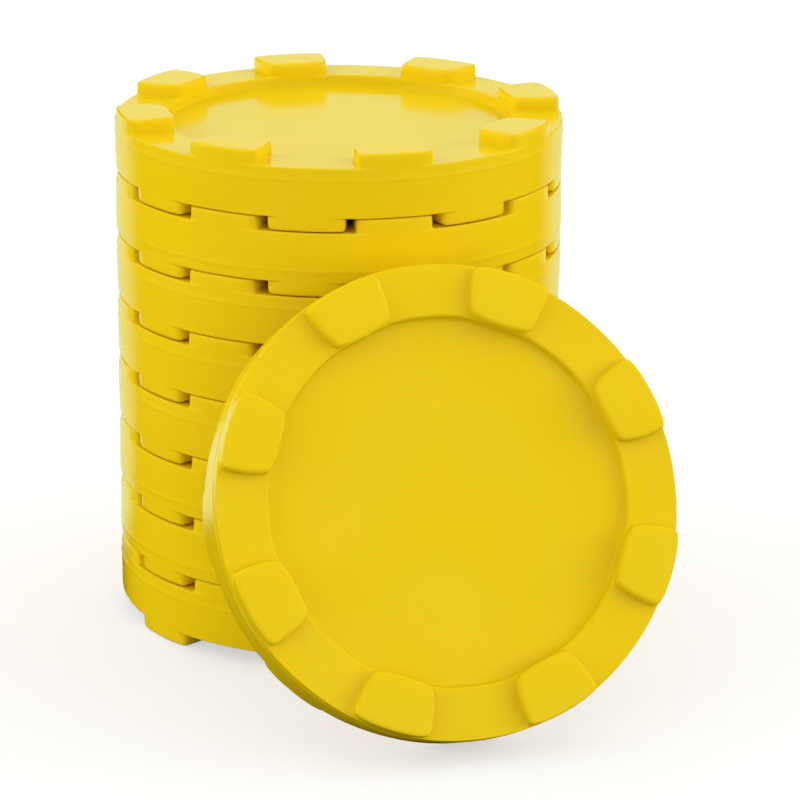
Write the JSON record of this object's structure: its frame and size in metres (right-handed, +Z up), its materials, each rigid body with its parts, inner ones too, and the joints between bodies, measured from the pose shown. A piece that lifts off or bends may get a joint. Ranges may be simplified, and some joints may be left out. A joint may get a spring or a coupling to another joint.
{
  "type": "poker chip",
  "caption": "Nested stack of round interlocking poker chips with raised edge tabs and flat recessed faces, and another such chip leaning on it.",
  "frame": {"origin": "on the stack's axis, at the level of the floor, under the lowest chip's tabs", "axes": "+Z up along the stack's axis; -Y towards the front, where the leaning chip stands; +X to the right of the picture"},
  "size_m": [0.0476, 0.0617, 0.0455],
  "materials": {
    "yellow_plastic": "smooth semi-gloss moulded plastic, dyed yellow right through"
  },
  "bodies": {
    "stack_chip_1": {"stack_chip_1": "yellow_plastic"},
    "stack_chip_2": {"stack_chip_2": "yellow_plastic"},
    "stack_chip_3": {"stack_chip_3": "yellow_plastic"},
    "stack_chip_4": {"stack_chip_4": "yellow_plastic"},
    "stack_chip_5": {"stack_chip_5": "yellow_plastic"},
    "stack_chip_6": {"stack_chip_6": "yellow_plastic"},
    "stack_chip_7": {"stack_chip_7": "yellow_plastic"},
    "stack_chip_8": {"stack_chip_8": "yellow_plastic"},
    "leaning_chip": {"leaning_chip": "yellow_plastic"}
  },
  "joints": [
    {"name": "lift_chip_2", "type": "slide", "parent": "stack_chip_1", "child": "stack_chip_2", "axis": [0, 0, 1], "range_m": [0, 0.012]},
    {"name": "lift_chip_3", "type": "slide", "parent": "stack_chip_2", "child": "stack_chip_3", "axis": [0, 0, 1], "range_m": [0, 0.012]},
    {"name": "lift_chip_4", "type": "slide", "parent": "stack_chip_3", "child": "stack_chip_4", "axis": [0, 0, 1], "range_m": [0, 0.012]},
    {"name": "lift_chip_5", "type": "slide", "parent": "stack_chip_4", "child": "stack_chip_5", "axis": [0, 0, 1], "range_m": [0, 0.012]},
    {"name": "lift_chip_6", "type": "slide", "parent": "stack_chip_5", "child": "stack_chip_6", "axis": [0, 0, 1], "range_m": [0, 0.012]},
    {"name": "lift_chip_7", "type": "slide", "parent": "stack_chip_6", "child": "stack_chip_7", "axis": [0, 0, 1], "range_m": [0, 0.012]},
    {"name": "lift_chip_8", "type": "slide", "parent": "stack_chip_7", "child": "stack_chip_8", "axis": [0, 0, 1], "range_m": [0, 0.012]},
    {"name": "tip_leaning_chip", "type": "hinge", "parent": "stack_chip_1", "child": "leaning_chip", "pos_m": [0.01001, -0.03492, 0.0003], "axis": [0.9613, 0.2756, 0], "range_deg": [0, 18]}
  ]
}
